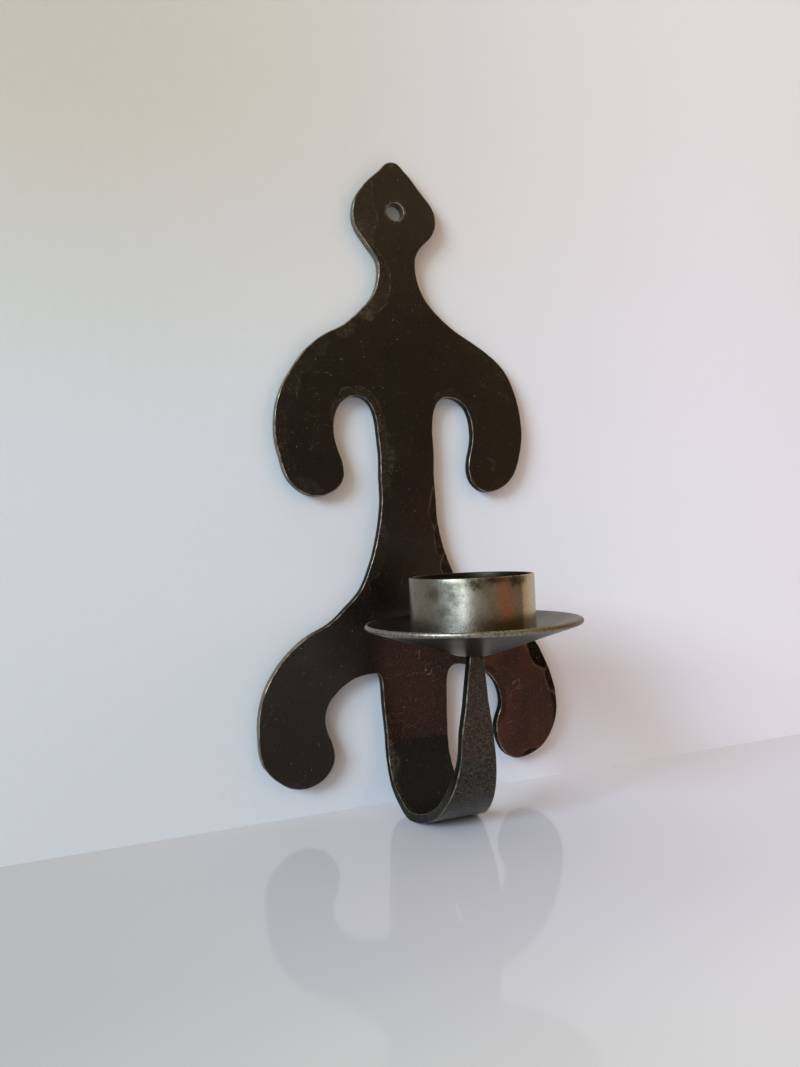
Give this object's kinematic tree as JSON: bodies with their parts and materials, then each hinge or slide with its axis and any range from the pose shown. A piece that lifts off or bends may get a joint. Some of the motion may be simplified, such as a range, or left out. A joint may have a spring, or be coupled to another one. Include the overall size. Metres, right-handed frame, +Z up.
{
  "type": "wall candle holder",
  "caption": "Forged steel wall plate with paired lobes whose tail bends into an arm with a drip pan and candle cup.",
  "frame": {"origin": "centre of the hanging hole at the back face of the plate", "axes": "+Z up the wall, -Y out of the wall towards the room, +X to the right seen from the room; x = 0 is the plane of symmetry"},
  "size_m": [0.126, 0.093, 0.251],
  "materials": {
    "forged_steel": "blackened and waxed forged steel, satin, with hammered edges",
    "pan_steel": "darkened satin steel with a brighter rim",
    "collar_steel": "plain turned steel",
    "cup_steel": "satin steel with warm age stains"
  },
  "bodies": {
    "root": {"forged_bracket": "forged_steel", "drip_pan": "pan_steel", "spacer_collar": "collar_steel", "candle_cup": "cup_steel"}
  },
  "joints": []
}
